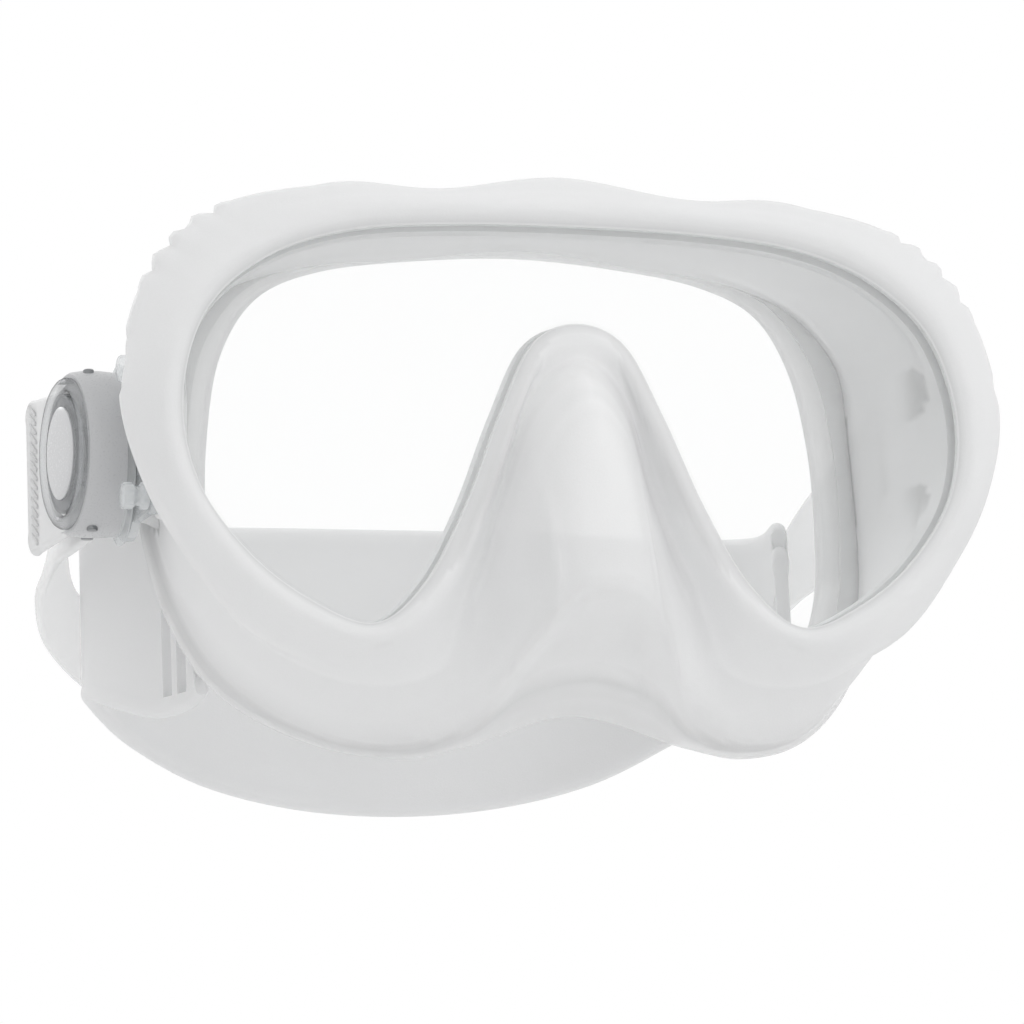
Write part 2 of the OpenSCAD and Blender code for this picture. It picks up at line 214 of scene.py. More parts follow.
# %% [markdown]
# ## Finishes
# Liquid silicone comes off a bead-blasted mould with a fine even frost, so it scatters light just
# under its skin and is paler where it is thick. The frost is a very fine noise in the bump and the
# roughness, and a slow noise clouds the colour a little. The wall's thickness is stored on the
# mesh, and thin lips let more through than the thick rim does.

# %% Silicone


def silicone(name, pale, deep, thin_alpha, thick_alpha, clear_behind=None):
    """Frosted silicone. Past the depth clear_behind, in metres, the part is thinner and clearer."""
    paint = Paint(name, subsurface_weight=0.3, subsurface_scale=0.003, subsurface_radius=(1, 1, 1),
                  ior=1.41, specular_ior_level=0.3)
    cloud = paint.noise(28, 3)
    grain = paint.noise(2600, 2)
    frost = paint.noise(5200, 1)
    thick = paint.node("Attribute", {"attribute_name": "thickness"}, output=2)
    body = paint.mix(cloud, pale, deep)
    frosted = paint.mix(frost * 0.45, body, tuple(c * 0.86 for c in deep[:3]) + (1,))
    paint.link("Base Color", paint.mix(thick * 0.25, frosted, pale))
    paint.link("Roughness", grain * 0.12 + cloud * 0.06 + 0.42)
    alpha = thick * (thick_alpha - thin_alpha) + thin_alpha
    if clear_behind:
        where = paint.node("TexCoord", output=3)
        back = paint.node("SeparateXYZ", {}, {0: where}, 1)
        share = paint.node("MapRange", {}, {0: back, 1: clear_behind, 2: clear_behind + 0.02})
        alpha = alpha - share * 0.55
    paint.link("Alpha", alpha)
    paint.bump(grain + cloud * 0.4, 0.00002)
    return paint.material


skirt_finish = silicone("frosted clear silicone",
                        (0.91, 0.913, 0.917, 1), (0.85, 0.853, 0.857, 1), 0.36, 0.84)
strap_finish = silicone("strap silicone", (0.85, 0.853, 0.857, 1), (0.78, 0.783, 0.787, 1), 0.72, 0.92)
arm_finish = silicone("strap arm silicone",
                      (0.84, 0.843, 0.847, 1), (0.76, 0.763, 0.767, 1), 0.8, 0.95, 0.014)
print("silicones:", skirt_finish.name, "and", strap_finish.name)

# %% [markdown]
# Glass on white is nearly invisible: only its edge, ground and slightly green, draws a line. Clear
# plastic is the same with thicker edges. Both are given a mix of a see-through face and a darker
# glossy edge, with the Fresnel weight as the factor. The darker edge is painted shade, standing in
# for the dark lines that refraction draws, because clear parts on a bright ground show by their
# edges. The steel has its turning marks.

# %% Glass and clear plastic


def clear(name, tint, edge, face_alpha, roughness, edge_shade_power=2.5):
    """A see-through finish whose grazing edges turn dark and glossy: painted edge shade, for the dark
    lines that refraction draws.
    """
    paint = Paint(name, roughness=roughness, ior=1.5, alpha=face_alpha)
    wave = paint.noise(90, 1)
    paint.link("Base Color", paint.mix(wave * 0.3, tint, (0.8, 0.83, 0.84, 1)))
    # The rim is a darker glossy layer: painted edge shade on the grazing edges, for the dark lines that
    # refraction draws.
    rim = paint.node("BsdfGlossy", {}, {"Color": edge, "Roughness": 0.08})
    edge_shade_share = paint.node("LayerWeight", {}, {"Blend": 0.3}, 1)
    face = Wire(paint, paint.shader.outputs[0])
    joined = paint.node("MixShader", {}, {0: edge_shade_share ** edge_shade_power * 0.9, 1: face, 2: rim})
    paint.put(paint.tree.nodes["Material Output"].inputs["Surface"], joined)
    return paint.material


lens_face = clear("tempered glass", (0.95, 0.98, 0.97, 1), (0.5, 0.55, 0.53, 1), 0.05, 0.02)
lens_edge = clear("ground glass edge", (0.86, 0.9, 0.89, 1), (0.88, 0.91, 0.9, 1), 0.08, 0.3)
# The polycarbonate's near-black edge is painted shade, for the dark refraction lines in the clear ring and
# lever.
clear_plastic = clear("clear polycarbonate", (0.88, 0.9, 0.92, 1), (0.02, 0.02, 0.025, 1), 0.22, 0.04, 1.7)
bracket_plastic = clear("clear bracket plastic", (0.88, 0.9, 0.91, 1), (0.66, 0.68, 0.69, 1), 0.4, 0.12)

# %% Moulded and metal parts


def moulded(name, colour, low, high):
    """An opaque moulded plastic with a faint mould texture."""
    paint = Paint(name, ior=1.5)
    grain = paint.noise(3200, 2)
    cloud = paint.noise(60, 2)
    darker = tuple(c * 0.93 for c in colour[:3]) + (1,)
    paint.link("Base Color", paint.mix(cloud, colour, darker))
    paint.link("Roughness", grain * (high - low) + low)
    paint.bump(grain, 0.000003)
    return paint.material


def brushed_steel():
    paint = Paint("turned steel", metallic=1.0)
    marks = paint.noise(600, 3, (1, 1, 14))
    paint.link("Base Color", paint.mix(marks, (0.16, 0.165, 0.17, 1), (0.4, 0.41, 0.42, 1)))
    paint.link("Roughness", marks * 0.2 + 0.2)
    paint.bump(marks, 0.00001)
    return paint.material


# The white plastic is coloured a mid grey, darker than the white case is: painted shade on the case wall
# and the roller.
white_plastic_painted_shade = moulded("white moulded plastic", (0.55, 0.555, 0.565, 1), 0.22, 0.36)
badge_finish = moulded("badge grey", (0.66, 0.665, 0.675, 1), 0.2, 0.32)
steel = brushed_steel()
print("materials:", len(bpy.data.materials))

# %% [markdown]
# ## Curves and rows
# Every moulded shape here is a row of points that is pulled along, as a maker would loft it
# through templates. A Catmull-Rom curve passes through the templates' own points. The row is
# extruded edge by edge, so that each new row stays joined to the last one.


# %% Curves
def spline(before, a, b, after, t):
    return 0.5 * (2 * a + (b - before) * t + (2 * before - 5 * a + 4 * b - after) * t * t
                  + (3 * a - before - 3 * b + after) * t ** 3)


def closed_curve(points, steps):
    n = len(points)
    return [spline(points[i - 1], points[i], points[(i + 1) % n], points[(i + 2) % n], s / steps)
            for i in range(n) for s in range(steps)]


def open_curve(points, steps):
    last = len(points) - 1
    curve = [spline(points[max(i - 1, 0)], points[i], points[i + 1], points[min(i + 2, last)], s / steps)
             for i in range(last) for s in range(steps)]
    return curve + [points[-1]]


# %% Rows
def first_row(bm, points, closed=True):
    row = [bm.verts.new(p) for p in points]
    after = row[1:] + row[:1] if closed else row[1:]
    edges = [bm.edges.new(pair) for pair in zip(row, after)]
    return row, edges


def next_row(bm, row, edges, points):
    """Extrudes the row's edges and moves the new row onto points."""
    made = bmesh.ops.extrude_edge_only(bm, edges=edges)["geom"]
    fresh = {g for g in made if isinstance(g, bmesh.types.BMVert)}
    new = [next(e.other_vert(v) for e in v.link_edges if e.other_vert(v) in fresh) for v in row]
    for vert, point in zip(new, points):
        vert.co = point
    after = new[1:] + new[:1] if len(edges) == len(row) else new[1:]
    return new, [bm.edges.get(pair) for pair in zip(new, after)]


def loft(bm, rows, closed=True, caps=False):
    """A skin through rows of points; caps fills its two ends."""
    row, edges = first_row(bm, rows[0], closed)
    if caps:
        bmesh.ops.contextual_create(bm, geom=edges)
    for points in rows[1:]:
        row, edges = next_row(bm, row, edges, points)
    if caps:
        bmesh.ops.contextual_create(bm, geom=edges)


def finish_piece(name, bm, material, body, sharp=40, weld=0.002):
    """Merges, turns the faces outwards, and hangs the mesh on its body."""
    bmesh.ops.remove_doubles(bm, verts=bm.verts, dist=weld * MM)
    bmesh.ops.recalc_face_normals(bm, faces=bm.faces)
    mesh = bpy.data.meshes.new(name)
    bm.to_mesh(mesh)
    bm.free()
    mesh.shade_smooth()
    mesh.set_sharp_from_angle(angle=math.radians(sharp))
    mesh.materials.append(material)
    piece = bpy.data.objects.new(name, mesh)
    bpy.context.scene.collection.objects.link(piece)
    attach(piece, body)
    print(f"{name}: {len(mesh.polygons)} faces")
    return piece


# %% [markdown]
# ## The skirt's templates
# Each template is the outline of the skirt at one depth, drawn as a half from the forehead to the
# top of the nose arch, in millimetres. They are the outlines of the CAD skirt, so the moulding
# sits in the same space. The first is the edge of the glass, the last the feathered lip that
# touches the face.

# %% Templates
LENS = [(0, -40, 34), (24, -40, 33.5), (43, -40, 31.5), (58, -40, 26), (69, -40, 16), (73.6, -40, 1),
        (71.5, -40, -14), (63, -40, -26.5), (52, -40, -35), (40.5, -40, -39), (31, -40, -31.5),
        (23, -40, -17.5), (16, -40, -1), (9, -40, 12.5), (0, -40, 16.4)]
CREST = [(0, -41.2, 38.5), (24, -41.2, 37.6), (44.5, -41.2, 35.6), (61, -41.2, 29.6),
         (72.6, -41.2, 18.4), (77.6, -41.2, 2), (75.4, -41.2, -13.5), (67, -41.2, -27.6),
         (55.6, -41.2, -37.6), (41.5, -41.2, -42.2), (29.5, -41, -36), (21.4, -39.5, -23),
         (14.8, -39.5, -7.5), (8.2, -40.6, 8.5), (0, -41.4, 12.6)]
RIM = [(0, -34, 45.3), (24, -35, 41.8), (48, -36, 41), (67.5, -36, 35.6), (79.5, -36, 23),
       (84.5, -36, 4), (81.5, -36, -12), (74, -36, -26), (62, -36, -40), (45, -37, -46.5),
       (30, -37, -43), (20.5, -35.5, -30), (14.5, -35, -14), (8.6, -38, 1.5), (0, -41, 7.6)]
NECK = [(0, -27, 43), (24, -27, 39), (45, -27, 37), (62, -27, 31), (72.5, -27, 20.5),
        (75.2, -27, 4), (75, -27, -12), (70.5, -27, -24.5), (62.5, -30, -38.5), (47, -33, -48.5),
        (31, -34, -49), (20, -36, -40.5), (12.5, -40, -22), (7, -44.5, -8), (0, -46.5, -2)]
WALL = [(0, -19, 40.5), (24, -18, 37.5), (44, -16, 36), (60.5, -14, 30.5), (70.5, -12, 20),
        (73, -11, 4), (72.8, -12, -12), (69, -15, -27), (61.5, -21, -42), (48, -27.5, -52.5),
        (32, -31, -55), (19.5, -37, -48), (12, -46, -36), (6.5, -50, -28), (0, -51, -26)]
FLANK = [(0, -12, 39), (23, -10, 37), (42.5, -7, 35.5), (58, -4, 30.5), (68.5, -3, 19.5),
         (71.2, -2.5, 4), (71.4, -3.5, -13), (68, -8, -29.5), (60.5, -13.5, -44.5),
         (47.5, -22.5, -55.5), (33, -29, -59), (21, -33, -54.5), (13.5, -43, -46.5),
         (7, -48.5, -43.5), (0, -50.5, -42.5)]
EDGE = [(0, -6, 41), (22, -4, 39.5), (42, -1, 37.2), (58, 1, 31.8), (69, 1.5, 19.5), (72.5, 1.5, 4),
        (72.6, 0.5, -14), (69, -2.5, -32), (61, -7.5, -47), (47, -18, -57.5), (32.5, -25.5, -61.3),
        (22, -26.5, -59.8), (14.5, -26.5, -57.5), (7.5, -26.2, -55), (0, -26, -53.8)]
LIP = [(0, -5, 37.4), (20, -4, 36.4), (38, -2.5, 34), (50, -2, 28.5), (57, -1, 17.5), (60, -1, 2),
       (60.5, -1, -13), (58.5, -3.5, -27.5), (52, -8.5, -40), (42, -15.5, -48.5), (32, -20.5, -52),
       (24, -20, -50.5), (16.5, -18, -46.5), (9, -16, -44), (0, -15.5, -43)]
AROUND = 12                 # points between two stations of an outline
ACROSS = 6                  # rows between two templates


def outline(half):
    """The closed smooth outline of a half template."""
    whole = list(half) + [(-x, y, z) for x, y, z in reversed(half[1:-1])]
    return closed_curve([Vector(p) for p in whole], AROUND)


lens_line = outline(LENS)
COUNT = len(lens_line)


def grown(offset, y):
    """The glass's outline moved outwards in its own plane, at depth y."""
    made = []
    for i, point in enumerate(lens_line):
        along = lens_line[(i + 1) % COUNT] - lens_line[i - 1]
        side = Vector((-along.z, 0, along.x)).normalized()
        made.append(Vector((point.x, y, point.z)) + side * offset)
    return made


def station(i):
    """Where point i lies along the half outline, from 0 at the forehead to 14 at the nose."""
    return min(i, COUNT - i) / AROUND


print(f"each outline has {COUNT} points")

# %% [markdown]
# ## Flex ribs on the upper corners
# The rim has a few rounded scallops at each upper corner, where the skirt has to fold when the
# mask is pulled on. They are a wave in the radius with sharp valleys, which fades to nothing
# towards the glass and towards the face. A small step in the brow's edge marks the end of the
# stiffer part of the rim.

# %% Ribs, brow step and the seat of the buckle's bracket
RIB_FROM, RIB_TO, RIBS = 2.7, 4.2, 5
RIB_HEIGHT = 1.9
lug_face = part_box("right_anchor_bracket")[0].x / MM
post_low, post_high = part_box("right_swivel_post")
post_y = (post_low.y + post_high.y) / 2 / MM
post_z = (post_low.z + post_high.z) / 2 / MM
stud_low, stud_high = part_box("right_anchor_studs")
stud_y = (stud_low.y + stud_high.y) / 2 / MM - post_y
knob_r = (stud_high.y - stud_low.y) / 2 / MM
stud_z = (stud_high.z - stud_low.z) / 2 / MM - knob_r
pod_low, pod_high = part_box("right_buckle_base")
pod_a = (pod_high.y - pod_low.y) / 2 / MM
pod_b = (pod_high.z - pod_low.z) / 2 / MM


def ribbed(point, at, depth):
    """A skirt point with the corner's scallops; depth is the template number, 2 at the rim."""
    share = (at - RIB_FROM) / (RIB_TO - RIB_FROM)
    if not 0 < share < 1:
        return point
    wave = abs(math.sin(math.pi * RIBS * share)) - 0.62
    fade = math.exp(-((depth - 2.15) / 0.6) ** 2) * min(1, share * 6, (1 - share) * 6)
    out = Vector((point.x, 0, point.z)).normalized()
    return point + out * RIB_HEIGHT * wave * fade


def stepped(point, at, depth):
    """The step in the brow's edge, one and a half stations out from the middle."""
    fade = math.exp(-((depth - 2.0) / 0.5) ** 2)
    rise = 0.8 / (1 + math.exp((at - 1.95) * 30)) * math.exp(-((at - 1.6) / 0.35) ** 2)
    return point + Vector((0, 0, rise * fade))


def bump_at(value, centre, width):
    return math.exp(-((value - centre) / width) ** 2)


def creased(point, at, depth):
    """The line round the bezel, and the ridge and valley down each side of the nose pocket."""
    groove = 0.4 * bump_at(depth, 1.5, 0.16) * (1 - 0.8 * bump_at(at, 14, 2.5))
    side = max(0.0, min(1.0, (depth - 2.4) * 1.5, (4.75 - depth) * 1.1))
    ridge = (0.9 * bump_at(at, 12.45, 0.2) - 0.9 * bump_at(at, 11.95, 0.25)) * side
    return point + Vector((0, groove - ridge, 0))


def tucked(point, at, depth):
    """The fold under the nose: a crisp edge where the pocket ends, and a hollow below it."""
    share = max(0.0, min(1.0, (at - 11.3) / 2.2))
    share = share * share * (3 - 2 * share)
    hollow = Vector((0, 5.4, 2.6)) * bump_at(depth, 5.5 - 0.38 * share, 0.34)
    brow = Vector((0, -0.9, 1.6)) * bump_at(depth, 4.95 - 0.38 * share, 0.22)
    return point + (hollow + brow) * share


def seated(point):
    """Keeps the silicone under the bracket's face, where the bracket lies on it."""
    y, z = point.y - post_y, abs(point.z - post_z)
    oval = (math.hypot(y / (pod_a + 1.4), z / (pod_b + 1.4)) - 1) * pod_a
    share = max(0.0, min(1.0, y / stud_y))
    arm = math.hypot(y - stud_y * share, z - (8 + (stud_z - 8) * share)) - 4.4
    limit = lug_face - 0.05 + max(0.0, min(oval, arm)) * 1.3
    return Vector((math.copysign(min(abs(point.x), limit), point.x), point.y, point.z))


# %% [markdown]
# ## The skirt
# The outer skin runs through all templates, from the glass to the lip. The wall is then built
# inwards: each inner row is an outer row moved along the surface's own normal by the wall's
# thickness there, 2.2 mm at the rim and under 1 mm at the lip, and thicker round the buckle's
# lugs. The last rows are the groove that holds the glass.

# %% Outer skin
templates = [grown(0.3, -40)] + [outline(h) for h in (CREST, RIM, NECK, WALL, FLANK, EDGE, LIP)]
columns = [open_curve([ring[i] for ring in templates], ACROSS) for i in range(COUNT)]
ROWS = len(columns[0])


def skin_point(j, i):
    depth = j / ACROSS
    at = station(i)
    point = tucked(columns[i][j], at, depth)
    for shape in (creased, ribbed, stepped):
        point = shape(point, at, depth)
    return seated(point)


skin = [[skin_point(j, i) for i in range(COUNT)] for j in range(ROWS)]

# %% Inner wall
WALLS = {2: 2.2, 3: 2.2, 4: 2.2, 5: 1.9, 6: 1.2, 7: 0.8}
LUG_STATION, LUG_SPREAD, LUG_BULK = 5.4, 1.3, 2.8


def wall_at(j, i):
    """Thickness of the wall at row j and point i, in millimetres."""
    depth = j / ACROSS
    low = min(int(depth), 6)
    plain = WALLS[low] + (WALLS[low + 1] - WALLS[low]) * (depth - low)
    lug = LUG_BULK * math.exp(-((station(i) - LUG_STATION) / LUG_SPREAD) ** 2)
    nose = 1 - 0.45 * bump_at(station(i), 14, 2.2)
    return plain * nose + lug * max(0, min(1, (5.6 - depth) / 1.2))


def inner_point(j, i):
    reach = 3
    along = skin[j][(i + reach) % COUNT] - skin[j][i - reach]
    across = skin[min(j + 1, ROWS - 1)][i] - skin[j - 1][i]
    base = skin[j][i] if station(i) > 10 else columns[i][j]
    return base + across.cross(along).normalized() * wall_at(j, i)


inner = [[inner_point(j, i) for i in range(COUNT)] for j in range(ROWS - 2, 3 * ACROSS - 1, -1)]


def valley_row(j):
    """An inner row between the neck and the glass. It follows the outer skin only at the nose."""
    row = []
    for i in range(COUNT):
        share = max(0.0, min(1.0, (station(i) - 10.2) / 0.8))
        straight = inner[-1][i].lerp(hold[i], (3 * ACROSS - j) / (ACROSS + 1.5))
        row.append(straight.lerp(inner_point(j, i), share))
    return row


hold = grown(-0.4, -34.2)
valley = [valley_row(j) for j in range(3 * ACROSS - 2, 2 * ACROSS - 1, -2)]
glass_seat = [hold, grown(0, -36), grown(2.7, -36), grown(2.7, -38.8), grown(0.3, -38.8)]

# %% The second seal
# Inside the outer lip lies a second, smaller one, a thin fin that runs all the way round.


FIN_ROOT = 5.5              # template number where the fin leaves the wall


def fin_rows(thickness):
    """Rows from the middle of the wall to the fin's tip, half a thickness to one side."""
    rows = [[], [], [], []]
    j = int(FIN_ROOT * ACROSS)
    for i in range(COUNT):
        root = skin[j][i].lerp(inner_point(j, i), 0.5)
        tip = templates[7][i].lerp(templates[6][i], 0.34) + Vector((0, -3.4, 0))
        for row, share in zip(rows, (0, 0.35, 0.7, 1)):
            sag = Vector((0, -1.1 * math.sin(math.pi * share), 0))
            shift = Vector((0, thickness * (1 - 0.7 * share) / 2, 0))
            row.append(root.lerp(tip, share) + sag + shift)
    return rows


def add_fin(bm):
    """A thin tapering fin with its root in the skirt's wall."""
    front, back = fin_rows(-1.1), fin_rows(1.1)
    loft(bm, front + back[::-1] + front[:1])


def add_boss(bm, side, y, z, a, b, bottom, top, flare):
    """An oval boss on the skirt's temple, wider at its foot."""
    rows = []
    for height, grow in ((bottom, flare), (0.6 * bottom, flare * 0.4), (top - 0.8, 0.1), (top - 0.25, 0),
                         (top, -0.35)):
        rows.append([Vector((side * (lug_face + height), post_y + y + (a + grow) * math.cos(t),
                             post_z + z + (b + grow) * math.sin(t)))
                     for t in (2 * math.pi * k / 48 for k in range(48))])
    loft(bm, rows, caps=True)


# %% Make the skirt
def thickness_of(piece, full):
    """Stores how thick the wall is at each point, from 0 to 1, by looking through it."""
    mesh = piece.data
    tree = BVHTree.FromPolygons([v.co for v in mesh.vertices], [p.vertices for p in mesh.polygons])
    layer = mesh.attributes.new("thickness", "FLOAT", "POINT")
    for vert in mesh.vertices:
        hit = tree.ray_cast(vert.co - vert.normal * 0.02 * MM, -vert.normal, full * 4)
        layer.data[vert.index].value = min(1.0, (hit[3] or full) / full)


def add_part(bm, maker, *facts):
    """Makes a closed part in millimetres and adds it to bm, which is in metres."""
    part = bmesh.new()
    maker(part, *facts)
    bmesh.ops.scale(part, vec=(MM, MM, MM), verts=part.verts)
    mesh = bpy.data.meshes.new("part")
    part.to_mesh(mesh)
    part.free()
    bm.from_mesh(mesh)
    bpy.data.meshes.remove(mesh)


bm = bmesh.new()
loft(bm, [[p * MM for p in row] for row in skin + inner + valley + glass_seat + skin[:1]])
add_part(bm, add_fin)
for side in (-1, 1):
    add_part(bm, add_boss, side, 0, 0, 8.6, 12, -5, -0.02, 1.6)
    for end in (-1, 1):
        add_part(bm, add_boss, side, stud_y, end * stud_z, 4, 4, -4, -0.02, 1.2)
skirt = finish_piece("silicone_skirt", bm, skirt_finish, "mask", sharp=50)
thickness_of(skirt, 2.4 * MM)
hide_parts("skirt")

# %% [markdown]
# ## The lens
# The glass is 4 mm thick. Its front stands in a ground step, so the silicone's lip is level with
# it, and its wider back plate sits in the groove. Its edges have a small ground chamfer, and they
# get a finish of their own: this green-grey edge is most of what one sees of a clear lens.

# %% Lens
CLEARANCE = 0.06
glass_rows = [grown(-0.3, -39.98), grown(0.3 - CLEARANCE, -39.7), grown(0.3 - CLEARANCE, -38.8),
              grown(2.7 - CLEARANCE, -38.74), grown(2.7 - CLEARANCE, -36.4), grown(2.3, -36.06)]
bm = bmesh.new()
loft(bm, [[p * MM for p in row] for row in glass_rows], caps=True)
lens = finish_piece("tempered_lens", bm, lens_face, "mask", sharp=20)
lens.data.materials.append(lens_edge)
for face in lens.data.polygons:
    face.material_index = 0 if abs(face.normal.y) > 0.99 else 1
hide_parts("lens")

# %% [markdown]
# ## The strap
# The strap is a wide pad for the back of the head and two arms. It is a band with rounded edges
# and a low bead along them, swept through pairs of edge points. The arm starts at its loose
# tail, turns round the roller, twists and runs into the pad's outer face. The tail ends in a
# row of short slanting grip ribs, and each end of the pad has a slotted keeper.

# %% Band
roller_low, roller_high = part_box("right_roller")
roller_x = (roller_low.x + roller_high.x) / 2 / MM
roller_y = (roller_low.y + roller_high.y) / 2 / MM
STRAP_T, PAD_T = 1.8, 2.6
wrap_r = (roller_high.x - roller_low.x) / 2 / MM + 0.1 + STRAP_T / 2
strap_h = (roller_high.z - roller_low.z) / 2 / MM - 0.1
low_z, high_z = post_z - strap_h, post_z + strap_h
EDGE_STEPS, FACE_STEPS = 6, 10


def band_row(low, high, along, thickness, bead):
    """The closed cross-section of the band between two edge points."""
    up = (high - low).normalized()
    out = along.cross(up).normalized()
    r = thickness / 2
    end = r + bead
    shares = [k / FACE_STEPS for k in range(1, FACE_STEPS)]
    row = [low + up * end + (-up * math.cos(t) + out * math.sin(t)) * end
           for t in (math.pi * (k / EDGE_STEPS - 0.5) for k in range(EDGE_STEPS + 1))]
    start, stop = low + up * (end * 2.2), high - up * (end * 2.2)
    row += [start.lerp(stop, (s - shares[0]) / (shares[-1] - shares[0])) + out * r for s in shares]
    row += [high - up * end + (up * math.cos(t) + out * math.sin(t)) * end
            for t in (math.pi * (0.5 - k / EDGE_STEPS) for k in range(EDGE_STEPS + 1))]
    row += [stop.lerp(start, (s - shares[0]) / (shares[-1] - shares[0])) - out * r for s in shares]
    return row


def rounded_end(pairs, radius, steps=5):
    """The first stations of a band, narrowed so that its corners are round."""
    (low, high), (low_next, high_next) = pairs[0], pairs[1]
    along = ((low_next + high_next) - (low + high)).normalized()
    up = (high - low).normalized()
    made = []
    for k in range(steps):
        t = math.pi / 2 * k / steps
        shift = along * radius * (1 - math.cos(t))
        narrow = up * radius * (1 - math.sin(t))
        made.append((low + shift + narrow, high + shift - narrow))
    return made + [(low + along * radius, high + along * radius)]


def band(bm, pairs, thickness, bead, steps, round_start=2.5, round_stop=0):
    low = open_curve([p[0] for p in pairs], steps)
    high = open_curve([p[1] for p in pairs], steps)
    rungs = list(zip(low, high))
    if round_start:
        keep = [p for p in rungs[1:] if (p[0] - rungs[0][0]).length > round_start * 1.1]
        rungs = rounded_end(rungs, round_start) + keep
    if round_stop:
        rungs.reverse()
        keep = [p for p in rungs[1:] if (p[0] - rungs[0][0]).length > round_stop * 1.1]
        rungs = rounded_end(rungs, round_stop) + keep
        rungs.reverse()
    rows = []
    for i, (a, b) in enumerate(rungs):
        before, after = rungs[max(i - 1, 0)], rungs[min(i + 1, len(rungs) - 1)]
        along = (after[0] + after[1] - before[0] - before[1]).normalized()
        rows.append([p * MM for p in band_row(a, b, along, thickness, bead)])
    loft(bm, rows, caps=True)


# %% Arms
TURN_ROOM = 0.1             # more room round the roller, so that the curve stays clear of it
TAIL_FLARE = 2.8            # the tail is a little wider at its end, on the upper side


def upright(x, y, flare=0):
    return Vector((x, y, low_z)), Vector((x, y, high_z + flare))


def arm_path():
    """Edge points of the right arm, from the tail round the roller to the pad."""
    outer_x, inner_x = roller_x + wrap_r, roller_x - wrap_r
    turn_r = wrap_r + TURN_ROOM
    path = [upright(outer_x + 1.6, roller_y + 27, TAIL_FLARE),
            upright(outer_x + 0.8, roller_y + 17, TAIL_FLARE * 0.55), upright(outer_x, roller_y + 8, 0.4)]
    for k in range(9):
        turn_angle = math.radians(90 - 22.5 * k)
        path.append(upright(roller_x + turn_r * math.sin(turn_angle),
                            roller_y - turn_r * math.cos(turn_angle)))
    path.append(upright(inner_x, roller_y + 8))
    path.append((Vector((inner_x, 16, low_z + 0.4)), Vector((inner_x - 0.3, 16, high_z - 1))))
    for low, high in (((81, 36, -15.6), (79.4, 33, 6)), ((80.4, 50, -16.6), (76.6, 46, -1)),
                      ((79.6, 61, -19), (74.4, 57, -9)), ((76, 71.5, -25), (70.5, 67, -14.5)),
                      ((67.5, 78.5, -32), (63.5, 74.5, -17)), ((59, 77.2, -37), (57.4, 76.8, -19))):
        path.append((Vector(low), Vector(high)))
    return path


def mirrored(pair):
    return tuple(Vector((-p.x, p.y, p.z)) for p in pair)


GRIP_PITCH, GRIP_LENGTH, GRIP_SLANT = 1.75, 5.2, math.radians(32)


def add_grip(bm, side):
    """Short slanting ribs, one above the other, at the end of the strap's tail."""
    x = roller_x + wrap_r + 1.15 + STRAP_T / 2
    count = int((2 * strap_h - 2) / GRIP_PITCH)
    for k in range(count + 1):
        z = post_z + TAIL_FLARE / 2 + (k - count / 2) * GRIP_PITCH
        rib = bmesh.ops.create_cube(bm, size=1)["verts"]
        bmesh.ops.scale(bm, vec=Vector((0.7, GRIP_LENGTH, 0.7)) * MM, verts=rib)
        bmesh.ops.rotate(bm, verts=rib, matrix=Matrix.Rotation(GRIP_SLANT, 3, "X"))
        bmesh.ops.translate(bm, verts=rib, vec=Vector((side * x, roller_y + 22.4, z)) * MM)
        edges = {e for v in rib for e in v.link_edges}
        bmesh.ops.bevel(bm, geom=list(edges), offset=0.2 * MM, affect="EDGES", segments=2,
                        profile=0.5, material=-1)


for side, label in ((-1, "left"), (1, "right")):
    bm = bmesh.new()
    path = arm_path() if side > 0 else [mirrored(pair) for pair in arm_path()]
    band(bm, path, STRAP_T, 0.12, 5)
    add_grip(bm, side)
    arm = finish_piece(f"{label}_strap_arm", bm, arm_finish, "harness", sharp=60)
    thickness_of(arm, 2.4 * MM)

# %% Pad
PAD = [((0, 86, -58), (0, 86, 2.6)), ((22, 85, -56.5), (22, 85, 2.4)), ((42, 82, -52), (42, 82, 1.6)),
       ((58, 76.5, -44.5), (58, 76.5, 0)), ((67.4, 67, -38.5), (67.4, 67, -2)),
       ((70.4, 54, -39), (70.4, 54, -4)), ((68, 40, -43), (68, 40, -5.5)),
       ((63.5, 26, -46.5), (63.5, 26, -7)), ((59.6, 15, -45.5), (59.6, 15, -9)),
       ((58, 10.5, -41), (58, 10.5, -14))]
half_pad = [(Vector(a), Vector(b)) for a, b in PAD]
pad_path = [mirrored(pair) for pair in reversed(half_pad[1:])] + half_pad


def cut(piece, cutters):
    """Cuts closed boxes out of a piece and keeps the result as its mesh."""
    tool_mesh = bpy.data.meshes.new("cutter")
    cutters.to_mesh(tool_mesh)
    cutters.free()
    tool = bpy.data.objects.new("cutter", tool_mesh)
    bpy.context.scene.collection.objects.link(tool)
    change = piece.modifiers.new("slots", "BOOLEAN")
    change.operation = "DIFFERENCE"
    change.object = tool
    bpy.context.view_layer.update()
    done = bpy.data.meshes.new_from_object(piece.evaluated_get(bpy.context.evaluated_depsgraph_get()))
    piece.modifiers.clear()
    piece.data = done
    bpy.data.objects.remove(tool)
    bpy.data.meshes.remove(tool_mesh)


